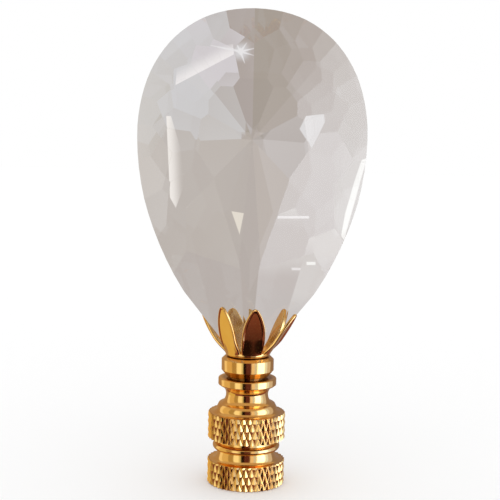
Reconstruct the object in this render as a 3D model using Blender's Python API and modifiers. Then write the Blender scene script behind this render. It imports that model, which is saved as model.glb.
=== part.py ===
"""Lamp shade finial: a faceted crystal drop in a six-petal brass cup on a turned, knurled and tapped base.

The part stands on the base's flat underside. +Z is up, the origin is the middle of the underside, and -Y
is the front. Lengths are in metres.
"""

import math

import bmesh
import bpy
from mathutils import Vector

MM = 0.001

# Clearances, and the distances within which points are merged or taken to lie on a cut
SEAT_GAP = 0.3 * MM
PETAL_CLEARANCE = 0.28 * MM
WELD = 0.005 * MM
CUT_SNAP = 0.0002 * MM

# Turned base: two knurled bands with a bead between them, a lip, a waist and a top flange
BAND_RADIUS = 6.35 * MM
LOWER_BAND_HEIGHT = 3.95 * MM
UPPER_BAND_BOTTOM = 7.6 * MM
UPPER_BAND_HEIGHT = 4.2 * MM
BAND_CHAMFER = 0.2 * MM
GROOVE_RADIUS = 4.75 * MM
BEAD_RADIUS = 5.5 * MM
BEAD_HALF_HEIGHT = 0.64 * MM
BEAD_DROP = 1.4 * MM
COVE_WIDTH = 0.85 * MM
COVE_HEIGHT = 0.8 * MM
LIP_RADIUS = 4.9 * MM
LIP_TOP_RADIUS = 4.6 * MM
LIP_HEIGHT = 0.62 * MM
WAIST_RADIUS = 3.45 * MM
WAIST_FLARE = 1.55 * MM
FLANGE_RADIUS = 4.75 * MM
FLANGE_SWEEP = 1.42 * MM
FLANGE_HEIGHT = 1.3 * MM
FLANGE_ROUND = 0.2 * MM
TURNED_STEPS = 40

# Diamond knurl: crossed grooves at 22 degrees to the axis
KNURL_COUNT = 40
KNURL_DEPTH = 0.22 * MM
KNURL_ANGLE = math.radians(22)

# Tapped hole, drawn plain at its pitch radius: 1/4 inch, 27 threads to the inch
BORE_RADIUS = 2.9 * MM
BORE_DEPTH = 8.8 * MM
BORE_DRILL_POINT = 0.9 * MM
BORE_COUNTERSINK = 0.45 * MM
CUTTER_OVERSHOOT = 0.3 * MM

# Seat collar between the base and the cup
COLLAR_RADIUS = 4.27 * MM
COLLAR_FOOT_RADIUS = 3.45 * MM
COLLAR_FOOT_HEIGHT = 0.95 * MM
COLLAR_BAND_HEIGHT = 2.25 * MM
COLLAR_CHAMFER = 0.45 * MM

# Petal cup, stamped from sheet
SHEET = 0.42 * MM
CUP_RADIUS = 3.7 * MM
CUP_CORNER = 0.4 * MM
CUP_WALL_HEIGHT = 0.75 * MM
PETAL_COUNT = 6
PETAL_FIRST_AZIMUTH = math.radians(11)
PETAL_LENGTH = 8.2 * MM
PETAL_MIN_LEAN = math.radians(14.5)
PETAL_ROOT_WIDTH = 3.2 * MM
PETAL_WIDTH = 3.75 * MM
PETAL_TIP_WIDTH = 0.7 * MM
PETAL_WIDEST_AT = 0.4
PETAL_COLUMNS = 6
PETAL_ROWS = 9

# Crystal drop: a flattened pear, cut in tiers of flat facets on both faces
DROP_HALF_WIDTH = 18.4 * MM
DROP_HALF_DEPTH = 8.1 * MM
DROP_GIRDLE = 0.8 * MM
DROP_CROWN_HEIGHT = 20.6 * MM
DROP_CROWN_POWER = 2.2
DROP_TAIL_LENGTH = 38.0 * MM
DROP_BELLY_TO_FOOT = 34.25 * MM
DROP_TAIL_CUT_ANGLE = math.radians(38.7)
DROP_TAIL_CUT_DISTANCE = 23.75 * MM
DROP_DOME_POWER = 1.7
CROWN_COUNT = 44
TAIL_COUNT = 14

# Facet directions in degrees above the horizontal, for one side; the other side mirrors them
OUTER_FACETS = (78, 54, 34, 15, -6.5, -22, -38.7)
STAGGERED_FACETS = (90, 65, 43, 24, 4, -14, -31)
FRONT_STAR_FACETS = (90, 45, 0, -45, -90)
BACK_STAR_FACETS = (67.5, 22.5, -22.5, -67.5)
RIM_TIER = 0.88
MAIN_TIER = 0.62
STAR_TIER = 0.30

# Heights of the stack, from the underside up
BEAD_MIDDLE = UPPER_BAND_BOTTOM - BEAD_DROP
UPPER_BAND_TOP = UPPER_BAND_BOTTOM + UPPER_BAND_HEIGHT
LIP_BOTTOM = UPPER_BAND_TOP + COVE_HEIGHT
LIP_TOP = LIP_BOTTOM + LIP_HEIGHT
WAIST = LIP_TOP + WAIST_FLARE
FLANGE_BOTTOM = WAIST + FLANGE_SWEEP
BASE_TOP = FLANGE_BOTTOM + FLANGE_HEIGHT
COLLAR_BOTTOM = BASE_TOP + SEAT_GAP
COLLAR_TOP = COLLAR_BOTTOM + COLLAR_FOOT_HEIGHT + COLLAR_BAND_HEIGHT
CUP_BOTTOM = COLLAR_TOP + SEAT_GAP
DROP_FOOT = CUP_BOTTOM + SHEET + SEAT_GAP
DROP_BELLY = DROP_FOOT + DROP_BELLY_TO_FOOT


def clear_scene():
    """Removes what the scene starts with."""
    for obj in list(bpy.data.objects):
        bpy.data.objects.remove(obj, do_unlink=True)


def new_collection(name):
    """A collection linked to the scene."""
    collection = bpy.data.collections.new(name)
    bpy.context.scene.collection.children.link(collection)
    return collection


def material(name, colour, roughness, metallic, transmission=0.0):
    """A Principled material with plain values."""
    made = bpy.data.materials.new(name)
    made.use_nodes = True
    shader = made.node_tree.nodes["Principled BSDF"]
    shader.inputs["Base Color"].default_value = (*colour, 1.0)
    shader.inputs["Roughness"].default_value = roughness
    shader.inputs["Metallic"].default_value = metallic
    shader.inputs["Transmission Weight"].default_value = transmission
    return made


def object_from(bm, name, collection, finish=None):
    """Turns a bmesh into an object, and frees the bmesh."""
    mesh = bpy.data.meshes.new(name)
    bm.to_mesh(mesh)
    bm.free()
    obj = bpy.data.objects.new(name, mesh)
    if finish:
        mesh.materials.append(finish)
    collection.objects.link(obj)
    return obj


def make_helper(obj):
    """Marks a cutter, or a body that is joined into another."""
    obj.hide_render = True
    obj.display_type = "WIRE"


def join(target, other, operation):
    """Adds an exact Boolean with the other object."""
    boolean = target.modifiers.new(other.name, "BOOLEAN")
    boolean.operation = operation
    boolean.solver = "EXACT"
    boolean.object = other


def shade_round(obj):
    """Smooth shading that keeps the turned edges crisp."""
    obj.data.shade_smooth()
    obj.data.set_sharp_from_angle(angle=math.radians(30))


def turned(name, profile, collection, finish=None):
    """A turned body from (radius, height) points that run down its outer side from the axis to the axis."""
    bm = bmesh.new()
    verts = [bm.verts.new((radius, 0, height)) for radius, height in profile]
    for first, second in zip(verts, verts[1:]):
        bm.edges.new((first, second))
    obj = object_from(bm, name, collection, finish)
    screw = obj.modifiers.new("turn", "SCREW")
    screw.steps = TURNED_STEPS
    screw.render_steps = TURNED_STEPS
    screw.use_merge_vertices = True
    screw.merge_threshold = 0.00001
    return obj


def arc(centre, radii, start, end, steps):
    """Points on an elliptical arc around (radius, height), with both ends."""
    angles = [start + (end - start) * i / steps for i in range(steps + 1)]
    return [
        (centre[0] + radii[0] * math.cos(a), centre[1] + radii[1] * math.sin(a))
        for a in angles
    ]


def knurled_drum(name, bottom, height, chamfer, collection):
    """A solid drum whose side is a diamond knurl.

    The rows and columns of the side stand half a groove apart, and every other point is a crest, so each
    crest is a four-sided pyramid between four points of the groove floor.
    """
    columns = 2 * KNURL_COUNT
    floor_radius = BAND_RADIUS - KNURL_DEPTH
    half_pitch = math.pi * BAND_RADIUS / KNURL_COUNT / math.tan(KNURL_ANGLE)
    steps = max(2, round((height - chamfer) / half_pitch))
    step = (height - chamfer) / steps
    rows = [(bottom, floor_radius - chamfer)] if chamfer else []
    first = len(rows)
    rows += [(bottom + chamfer + step * i, floor_radius) for i in range(steps + 1)]

    bm = bmesh.new()
    rings = []
    for row, (z, radius) in enumerate(rows):
        knurled = first < row < len(rows) - 1
        ring = []
        for column in range(columns):
            angle = math.tau * column / columns
            crest = knurled and (row + column) % 2 == 0
            r = BAND_RADIUS if crest else radius
            ring.append(bm.verts.new((r * math.cos(angle), r * math.sin(angle), z)))
        rings.append(ring)
    for row, (low, high) in enumerate(zip(rings, rings[1:])):
        for column in range(columns):
            after = (column + 1) % columns
            a, b, c, d = low[column], low[after], high[after], high[column]
            if (row + column) % 2 == 0:
                bm.faces.new((a, b, d))
                bm.faces.new((b, c, d))
            else:
                bm.faces.new((a, b, c))
                bm.faces.new((a, c, d))
    bm.faces.new(list(reversed(rings[0])))
    bm.faces.new(rings[-1])
    drum = object_from(bm, name, collection)
    make_helper(drum)
    return drum


def cove(radius, band_top):
    """The hollow from a neck's radius down and out on to a band's flat top, then down inside the band."""
    sweep = arc(
        (radius + COVE_WIDTH, band_top + COVE_HEIGHT),
        (COVE_WIDTH, COVE_HEIGHT), math.pi, 1.5 * math.pi, 4,
    )
    foot = sweep[-1][0]
    return sweep[:-1] + [(foot, band_top), (foot, band_top - BAND_CHAMFER)]


def finial_base(collection, helpers, brass):
    """The turned base with its knurled bands and its tapped hole."""
    quarter = math.pi / 2
    profile = [(0, BASE_TOP)]
    profile += arc(
        (FLANGE_RADIUS - FLANGE_ROUND, BASE_TOP - FLANGE_ROUND),
        (FLANGE_ROUND, FLANGE_ROUND), quarter, 0, 2,
    )
    profile += [(FLANGE_RADIUS, FLANGE_BOTTOM + FLANGE_ROUND)]
    profile += arc(
        (FLANGE_RADIUS, WAIST),
        (FLANGE_RADIUS - WAIST_RADIUS, FLANGE_SWEEP), quarter + 0.25, math.pi, 4,
    )
    profile += arc(
        (LIP_TOP_RADIUS, WAIST),
        (LIP_TOP_RADIUS - WAIST_RADIUS, WAIST_FLARE), math.pi, 3 * quarter, 5,
    )[1:]
    profile += [(LIP_RADIUS, LIP_BOTTOM)]
    profile += cove(LIP_RADIUS, UPPER_BAND_TOP)
    profile += [(GROOVE_RADIUS, UPPER_BAND_BOTTOM + UPPER_BAND_HEIGHT / 2)]
    profile += arc(
        (GROOVE_RADIUS, BEAD_MIDDLE),
        (BEAD_RADIUS - GROOVE_RADIUS, BEAD_HALF_HEIGHT), quarter, -quarter, 6,
    )
    profile += cove(GROOVE_RADIUS, LOWER_BAND_HEIGHT)
    profile += [(0, LOWER_BAND_HEIGHT / 2)]
    base = turned("finial_base", profile, collection, brass)
    shade_round(base)

    lower = knurled_drum("lower_band", 0, LOWER_BAND_HEIGHT, BAND_CHAMFER, helpers)
    upper = knurled_drum("upper_band", UPPER_BAND_BOTTOM, UPPER_BAND_HEIGHT, 0, helpers)
    bore = turned(
        "bore",
        [
            (0, BORE_DEPTH + BORE_DRILL_POINT),
            (BORE_RADIUS, BORE_DEPTH),
            (BORE_RADIUS, BORE_COUNTERSINK),
            (BORE_RADIUS + BORE_COUNTERSINK + CUTTER_OVERSHOOT, -CUTTER_OVERSHOOT),
            (0, -CUTTER_OVERSHOOT),
        ],
        helpers,
    )
    make_helper(bore)
    join(base, lower, "UNION")
    join(base, upper, "UNION")
    join(base, bore, "DIFFERENCE")


def seat_collar(collection, brass):
    """The plain ring under the cup: a cone that widens to a polished band."""
    band_bottom = COLLAR_BOTTOM + COLLAR_FOOT_HEIGHT
    profile = [
        (0, COLLAR_TOP),
        (COLLAR_RADIUS - COLLAR_CHAMFER, COLLAR_TOP),
        (COLLAR_RADIUS, COLLAR_TOP - COLLAR_CHAMFER),
        (COLLAR_RADIUS, band_bottom),
        (COLLAR_FOOT_RADIUS, COLLAR_BOTTOM),
        (0, COLLAR_BOTTOM),
    ]
    shade_round(turned("seat_collar", profile, collection, brass))


def drop_half_width(height):
    """Half the drop's width at a height: a superellipse above the belly and a parabola below it."""
    above = height - DROP_BELLY
    if above >= 0:
        share = 1 - min(above / DROP_CROWN_HEIGHT, 1) ** DROP_CROWN_POWER
        return DROP_HALF_WIDTH * share ** (1 / DROP_CROWN_POWER)
    return DROP_HALF_WIDTH * (1 - (above / DROP_TAIL_LENGTH) ** 2)


def drop_outline():
    """The drop's right side as (x, z) from its belly, from the crown down."""
    points = []
    for i in range(CROWN_COUNT // 2 + 1):
        angle = math.pi / 2 * (1 - 2 * i / CROWN_COUNT)
        power = 2 / DROP_CROWN_POWER
        x = DROP_HALF_WIDTH * max(math.cos(angle), 0) ** power
        points.append((x if i else 0.0, DROP_CROWN_HEIGHT * math.sin(angle) ** power if angle > 0 else 0.0))
    for i in range(1, TAIL_COUNT + 1):
        fall = DROP_BELLY_TO_FOOT * i / TAIL_COUNT
        points.append((drop_half_width(DROP_BELLY - fall), -fall))
    return points


def facet_directions(side):
    """Unit directions in the XZ plane for one side's angles and their mirror images."""
    found = []
    for degrees in side:
        angle = math.radians(degrees)
        found.append((math.cos(angle), math.sin(angle)))
        if abs(degrees) != 90:
            found.append((-math.cos(angle), math.sin(angle)))
    return found


def cut(bm, point, normal):
    """Cuts the convex body flat, keeping the side that the normal points away from."""
    bmesh.ops.bisect_plane(
        bm, geom=bm.verts[:] + bm.edges[:] + bm.faces[:], dist=CUT_SNAP,
        plane_co=point, plane_no=normal, clear_outer=True,
    )
    rim = [edge for edge in bm.edges if edge.is_boundary]
    if rim:
        bmesh.ops.edgeloop_fill(bm, edges=rim)


def cut_tier(bm, outline, directions, tier, face):
    """Cuts one tier of facets on the front (face -1) or the back (face 1).

    The smooth drop under the facets has outlines that shrink evenly to its middle. At share k of the full
    outline its half depth is girdle + depth * (1 - k ** power), and each facet is the tangent plane there, so
    every facet of a tier meets the others of its tier in one point over the middle.
    """
    height = DROP_GIRDLE / 2 + DROP_HALF_DEPTH * (1 - tier**DROP_DOME_POWER)
    slope = DROP_HALF_DEPTH * DROP_DOME_POWER * tier ** (DROP_DOME_POWER - 1)
    for nx, nz in directions:
        reach = max(nx * x + nz * z for x, z in outline)
        point = Vector((nx * reach * tier, face * height, nz * reach * tier))
        normal = Vector((nx * slope, face * reach, nz * slope)).normalized()
        cut(bm, point, normal)


def crystal_drop(collection, crystal):
    """The drop: its outline as a slab, then the tail and both faces cut flat."""
    right = drop_outline()
    loop = right + [(-x, z) for x, z in reversed(right) if x > 0]
    thickness = DROP_HALF_DEPTH * 2
    bm = bmesh.new()
    front = [bm.verts.new((x, -thickness, z)) for x, z in loop]
    back = [bm.verts.new((x, thickness, z)) for x, z in loop]
    bm.faces.new(front)
    bm.faces.new(back)
    for i in range(len(loop)):
        after = (i + 1) % len(loop)
        bm.faces.new((front[i], front[after], back[after], back[i]))
    bmesh.ops.recalc_face_normals(bm, faces=bm.faces)

    tail = (math.cos(DROP_TAIL_CUT_ANGLE), -math.sin(DROP_TAIL_CUT_ANGLE))
    for side in (1, -1):
        direction = Vector((side * tail[0], 0, tail[1]))
        cut(bm, direction * DROP_TAIL_CUT_DISTANCE, direction)
    outline = [(v.co.x, v.co.z) for v in bm.verts]
    tiers = {
        -1: (OUTER_FACETS, STAGGERED_FACETS, FRONT_STAR_FACETS),
        1: (STAGGERED_FACETS, OUTER_FACETS, BACK_STAR_FACETS),
    }
    for face, (rim, main, star) in tiers.items():
        cut_tier(bm, outline, facet_directions(rim), RIM_TIER, face)
        cut_tier(bm, outline, facet_directions(main), MAIN_TIER, face)
        cut_tier(bm, outline, facet_directions(star), STAR_TIER, face)
    bmesh.ops.remove_doubles(bm, verts=bm.verts, dist=WELD)
    bmesh.ops.dissolve_degenerate(bm, edges=bm.edges, dist=WELD)
    bmesh.ops.recalc_face_normals(bm, faces=bm.faces)
    bmesh.ops.translate(bm, verts=bm.verts, vec=(0, 0, DROP_BELLY))
    return object_from(bm, "crystal_drop", collection, crystal)


def section(mesh, height):
    """Points along the edge of a convex mesh's level section."""
    crossings = []
    for edge in mesh.edges:
        a, b = (mesh.vertices[i].co for i in edge.vertices)
        if (a.z - height) * (b.z - height) < 0:
            crossings.append(a.lerp(b, (height - a.z) / (b.z - a.z)))
    crossings.sort(key=lambda p: math.atan2(p.y, p.x))
    steps = 8
    points = []
    for first, second in zip(crossings, crossings[1:] + crossings[:1]):
        points += [first.lerp(second, i / steps) for i in range(steps)]
    return points


def petal_half_width(share):
    """Half the petal's width at a share of its length: a lancet that ends in a small round tip."""
    if share < PETAL_WIDEST_AT:
        swell = math.sin(math.pi / 2 * share / PETAL_WIDEST_AT)
        return (PETAL_ROOT_WIDTH + (PETAL_WIDTH - PETAL_ROOT_WIDTH) * swell) / 2
    beyond = (share - PETAL_WIDEST_AT) / (1 - PETAL_WIDEST_AT)
    return (PETAL_TIP_WIDTH + (PETAL_WIDTH - PETAL_TIP_WIDTH) * (1 - beyond**2.2)) / 2


def petal_lean(drop, azimuth, root_radius, root_height):
    """The smallest lean from upright, as run over rise, at which the straight petal clears the crystal."""
    outward = Vector((math.sin(azimuth), -math.cos(azimuth), 0))
    along = Vector((math.cos(azimuth), math.sin(azimuth), 0))
    steps = 14
    lean = 0.0
    for i in range(steps + 1):
        height = DROP_FOOT + (PETAL_LENGTH + root_height - DROP_FOOT) * (i + 0.2) / (steps + 1)
        share = (height - root_height) / PETAL_LENGTH
        strip = petal_half_width(min(share, 1.0)) + PETAL_CLEARANCE
        near = [p.dot(outward) for p in section(drop.data, height) if abs(p.dot(along)) < strip]
        if near:
            run = max(near) + PETAL_CLEARANCE - root_radius
            lean = max(lean, run / (height - root_height))
    return lean


def petal(name, drop, azimuth, collection):
    """One petal: an open grid bent up from the cup's wall, curved with it at its root and flat above."""
    root_radius = CUP_RADIUS - SHEET
    root_height = CUP_BOTTOM + CUP_CORNER
    lean = max(PETAL_MIN_LEAN, math.atan(petal_lean(drop, azimuth, root_radius, root_height)))
    bm = bmesh.new()
    bmesh.ops.create_grid(bm, x_segments=PETAL_COLUMNS, y_segments=PETAL_ROWS, size=1)
    for vert in bm.verts:
        share = (vert.co.y + 1) / 2
        side = vert.co.x * petal_half_width(share)
        run = share * PETAL_LENGTH * math.sin(lean)
        rise = share * PETAL_LENGTH * math.cos(lean)
        wrap = max(0.0, 1 - share / 0.25) * (root_radius - math.sqrt(root_radius**2 - side**2))
        radius = root_radius + run - wrap
        vert.co = Vector((
            side * math.cos(azimuth) + radius * math.sin(azimuth),
            side * math.sin(azimuth) - radius * math.cos(azimuth),
            root_height + rise,
        ))
    bmesh.ops.recalc_face_normals(bm, faces=bm.faces)
    outward = Vector((math.sin(azimuth), -math.cos(azimuth), 0))
    bm.faces.ensure_lookup_table()
    if bm.faces[0].normal.dot(outward) < 0:
        bmesh.ops.reverse_faces(bm, faces=bm.faces)
    obj = object_from(bm, name, collection)
    wall = obj.modifiers.new("sheet", "SOLIDIFY")
    wall.thickness = SHEET
    wall.offset = 1
    make_helper(obj)
    return obj


def petal_cup(drop, collection, helpers, brass):
    """The cup: a shallow dish of sheet with six petals bent up round the crystal."""
    inner = CUP_RADIUS - SHEET
    floor = CUP_BOTTOM + SHEET
    profile = [(0, CUP_BOTTOM)]
    outer_corner = arc(
        (CUP_RADIUS - CUP_CORNER, CUP_BOTTOM + CUP_CORNER),
        (CUP_CORNER, CUP_CORNER), -math.pi / 2, 0, 3,
    )
    profile += outer_corner
    profile += [
        (CUP_RADIUS, CUP_BOTTOM + CUP_WALL_HEIGHT),
        (inner, CUP_BOTTOM + CUP_WALL_HEIGHT),
        (inner, floor),
        (0, floor),
    ]
    cup = turned("petal_cup", list(reversed(profile)), collection, brass)
    shade_round(cup)
    for i in range(PETAL_COUNT):
        azimuth = PETAL_FIRST_AZIMUTH + math.tau * i / PETAL_COUNT
        join(cup, petal(f"petal_{i + 1}", drop, azimuth, helpers), "UNION")


def main():
    """Builds the four pieces from the base up."""
    clear_scene()
    parts = new_collection("lamp_shade_finial")
    helpers = new_collection("helpers")
    brass = material("polished_brass", (0.87, 0.58, 0.22), 0.12, 1.0)
    crystal = material("crystal", (0.96, 0.96, 0.95), 0.0, 0.0, transmission=1.0)
    finial_base(parts, helpers, brass)
    seat_collar(parts, brass)
    drop = crystal_drop(parts, crystal)
    petal_cup(drop, parts, helpers, brass)


main()
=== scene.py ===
"""Lamp shade finial: fine shapes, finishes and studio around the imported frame.

Lengths are in metres. +Z is up along the base's thread, -Y is the front and +X is the picture's right.
The glints' outlines are in pixels of the 500 x 500 picture, from its top left corner.
"""

import logging
import math
from dataclasses import dataclass, field
from enum import Enum

import bmesh
import bpy
import numpy as np
from mathutils import Matrix, Vector
from mathutils.bvhtree import BVHTree


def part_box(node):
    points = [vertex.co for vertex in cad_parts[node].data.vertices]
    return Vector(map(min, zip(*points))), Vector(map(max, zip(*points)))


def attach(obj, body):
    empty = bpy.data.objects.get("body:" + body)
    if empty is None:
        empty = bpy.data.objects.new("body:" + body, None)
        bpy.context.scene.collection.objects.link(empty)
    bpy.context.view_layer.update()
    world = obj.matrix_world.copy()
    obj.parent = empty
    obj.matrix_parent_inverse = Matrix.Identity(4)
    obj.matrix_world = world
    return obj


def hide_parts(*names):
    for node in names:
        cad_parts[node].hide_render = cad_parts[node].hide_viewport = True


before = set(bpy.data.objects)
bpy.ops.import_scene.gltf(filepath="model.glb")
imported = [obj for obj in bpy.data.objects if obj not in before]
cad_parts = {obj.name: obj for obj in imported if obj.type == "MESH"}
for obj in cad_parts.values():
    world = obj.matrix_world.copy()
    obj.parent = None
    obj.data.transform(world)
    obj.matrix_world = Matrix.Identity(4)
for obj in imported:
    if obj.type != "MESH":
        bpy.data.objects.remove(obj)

Colour = tuple[float, float, float]
Stops = tuple[tuple[float, Colour], ...]
Outline = tuple[tuple[float, float], ...]
LOG = logging.getLogger("finial")
MM = 0.001
BODY = "root"
PICTURE_SIZE = 500
STAR_CENTRE = (240.5, 51.5)
STAR_TIPS = ((236, 43), (247, 42.5), (256, 48), (254, 55.5), (245, 64), (206, 44.5))
SLIVER_OUTLINE = ((166.3, 116), (170, 197.5), (175.8, 207.8), (184, 186), (181, 150), (171, 116))
WEDGE_OUTLINE = ((234, 54.3), (175.5, 85), (177, 66), (200, 48), (233, 44))
KITE_OUTLINE = ((306, 116), (324, 114), (325, 122), (311.8, 148), (299.5, 129))
TRIANGLE_OUTLINE = ((231.5, 211.2), (243.8, 213.2), (239.6, 234.5))
BAR_OUTLINE = ((277, 216), (309, 216), (309, 218.5), (277, 218.5))
RIM_OUTLINE = ((367, 158), (344, 240), (341, 236), (345.5, 212), (353, 186), (361.5, 160))
SPARKLE_OUTLINE = ((306.5, 261.8), (315.5, 261.8), (315.5, 265), (306.5, 265))
FULL_TURN = 2 * math.pi
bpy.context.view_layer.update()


class Slot(Enum):
    """The record's material slots."""

    CRYSTAL = "crystal"
    BRASS = "polished_brass"


class Work(Enum):
    """How a brass surface was made, which decides its marks."""

    TURNED = "turned"
    KNURLED = "knurled"
    STAMPED = "stamped"


def smooth_step(low: float, high: float, value: np.ndarray) -> np.ndarray:
    """A smooth climb from 0 at low to 1 at high.

    Args:
        low: Where the climb starts.
        high: Where the climb ends.
        value: The numbers to map.

    Returns:
        3t^2 - 2t^3, with t the clipped share of the way from low to high.
    """
    t = np.clip((value - low) / (high - low), 0.0, 1.0)
    return t * t * (3 - 2 * t)


def triangle_wave(phase: np.ndarray) -> np.ndarray:
    """A wave of straight sides that is 1 at whole phases and 0 halfway between."""
    return np.abs(2 * (phase - np.floor(phase)) - 1)


def arc(
    centre: tuple[float, float], radii: tuple[float, float], start: float, end: float, steps: int
) -> np.ndarray:
    """Points on an elliptical arc in the (radius, height) plane.

    Args:
        centre: The arc's middle.
        radii: Its half widths along radius and height.
        start: First angle in degrees, 0 along +radius and 90 along +height.
        end: Last angle in degrees.
        steps: The number of chords.

    Returns:
        An array of steps + 1 points: centre + radii * (cos, sin).
    """
    angle = np.radians(np.linspace(start, end, steps + 1))
    return np.stack([centre[0] + radii[0] * np.cos(angle), centre[1] + radii[1] * np.sin(angle)], axis=1)


def grid_faces(rows: int, columns: int, closed: bool) -> np.ndarray:
    """The four-sided faces between neighbouring points of a grid.

    Args:
        rows: Points along the first parameter.
        columns: Points along the second.
        closed: Whether the last column joins the first.

    Returns:
        An array of point numbers, four to a face.
    """
    row = np.arange(rows - 1)[:, None] * columns
    column = np.arange(columns if closed else columns - 1)[None, :]
    after = (column + 1) % columns
    corners = [row + column, row + after, row + columns + after, row + columns + column]
    return np.stack([np.broadcast_to(c, (rows - 1, column.size)).ravel() for c in corners], axis=1)


def new_object(name: str, points: np.ndarray, faces: np.ndarray) -> bpy.types.Object:
    """A new object at the origin, with doubled points merged and faces turned outwards.

    Args:
        name: The piece's name.
        points: One row of three coordinates for each point.
        faces: One row of point numbers for each face.

    Returns:
        The new object, linked to the scene.
    """
    mesh = bpy.data.meshes.new(name)
    mesh.from_pydata(points.tolist(), [], faces.tolist())
    bm = bmesh.new()
    bm.from_mesh(mesh)
    bmesh.ops.remove_doubles(bm, verts=bm.verts, dist=0.0005 * MM)
    bmesh.ops.recalc_face_normals(bm, faces=bm.faces)
    bm.to_mesh(mesh)
    bm.free()
    obj = bpy.data.objects.new(name, mesh)
    bpy.context.scene.collection.objects.link(obj)
    return obj


def shade(obj: bpy.types.Object, sharp_degrees: float) -> None:
    """Smooth shading with edges steeper than the angle left sharp."""
    obj.data.shade_smooth()
    obj.data.set_sharp_from_angle(angle=math.radians(sharp_degrees))


def hand_over(piece: bpy.types.Object, slot: Slot, *nodes: str) -> None:
    """Rides a finished piece on the body and lets it stand for CAD nodes.

    Args:
        piece: The finished object.
        slot: The record's material slot; not used.
        nodes: The CAD nodes that it replaces.
    """
    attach(piece, BODY)
    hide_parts(*nodes)
    LOG.info("%s: %d faces, stands for %s", piece.name, len(piece.data.polygons), ", ".join(nodes))


class Wire:
    """A shader number as a Python value: arithmetic on it adds Math nodes."""

    def __init__(self, tree: "NodeTree", socket: bpy.types.NodeSocket) -> None:
        """Wraps an output socket of the tree."""
        self.tree = tree
        self.socket = socket

    def _math(self, operation: str, *values: "Wire | float") -> "Wire":
        """A Math node on the values."""
        return self.tree.node("ShaderNodeMath", {"operation": operation}, *values)

    def __add__(self, other: "Wire | float") -> "Wire":
        """self + other."""
        return self._math("ADD", self, other)

    __radd__ = __add__

    def __sub__(self, other: "Wire | float") -> "Wire":
        """self - other."""
        return self._math("SUBTRACT", self, other)

    def __rsub__(self, other: float) -> "Wire":
        """other - self."""
        return self._math("SUBTRACT", other, self)

    def __mul__(self, other: "Wire | float") -> "Wire":
        """self * other."""
        return self._math("MULTIPLY", self, other)

    __rmul__ = __mul__

    def __truediv__(self, other: "Wire | float") -> "Wire":
        """self / other."""
        return self._math("DIVIDE", self, other)

    def __pow__(self, other: float) -> "Wire":
        """self raised to other."""
        return self._math("POWER", self, other)

    def absolute(self) -> "Wire":
        """The size of self without its sign."""
        return self._math("ABSOLUTE", self)

    def least(self, other: "Wire") -> "Wire":
        """The smaller of self and other."""
        return self._math("MINIMUM", self, other)

    def dot(self, other: tuple[float, float, float]) -> "Wire":
        """The dot product of a vector with fixed numbers."""
        return self.tree.node("ShaderNodeVectorMath", {"operation": "DOT_PRODUCT"}, self, other, out="Value")

    def step(self, low: float, high: float) -> "Wire":
        """A smooth climb from 0 to 1.

        Args:
            low: Where the climb starts.
            high: Where the climb ends.

        Returns:
            The climb's value at self.
        """
        settings = {"interpolation_type": "SMOOTHSTEP"}
        span = {"From Min": low, "From Max": high}
        return self.tree.node("ShaderNodeMapRange", settings, Value=self, **span)

    def window(self, low: float, high: float, soft: float) -> "Wire":
        """1 between low and high, with smooth edges soft wide."""
        return self.step(low - soft, low + soft) * (1 - self.step(high - soft, high + soft))


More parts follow.
